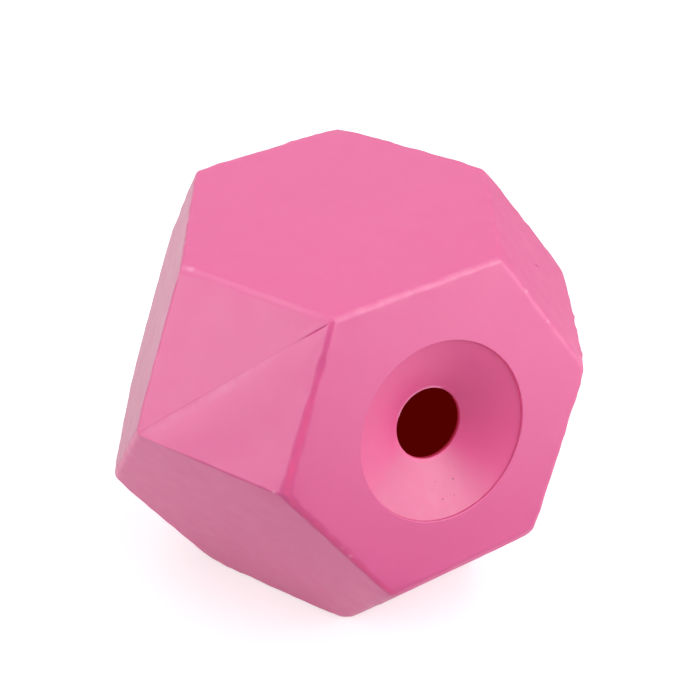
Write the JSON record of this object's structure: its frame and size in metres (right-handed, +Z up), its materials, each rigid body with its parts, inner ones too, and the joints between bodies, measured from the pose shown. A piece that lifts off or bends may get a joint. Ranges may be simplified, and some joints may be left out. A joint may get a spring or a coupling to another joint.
{
  "type": "horse treat ball",
  "caption": "Hollow faceted plastic ball of squares and hexagons, moulded in two shells, with a shallow funnel and round throat in one face that drops treats as it rolls.",
  "frame": {"origin": "centre of the hexagon that the ball rests on, under the ball's centre", "axes": "+Z up, -Y towards the funnel, +X along the top edge of the funnel's hexagon, to the right seen from the funnel"},
  "size_m": [0.2894, 0.279, 0.2385],
  "materials": {
    "shell_plastic": "pink polyethylene, satin as moulded",
    "funnel_plastic": "pink polyethylene, satin, with a cut edge at the throat"
  },
  "bodies": {
    "root": {"back_shell": "shell_plastic", "front_shell": "shell_plastic", "treat_funnel": "funnel_plastic"}
  },
  "joints": []
}
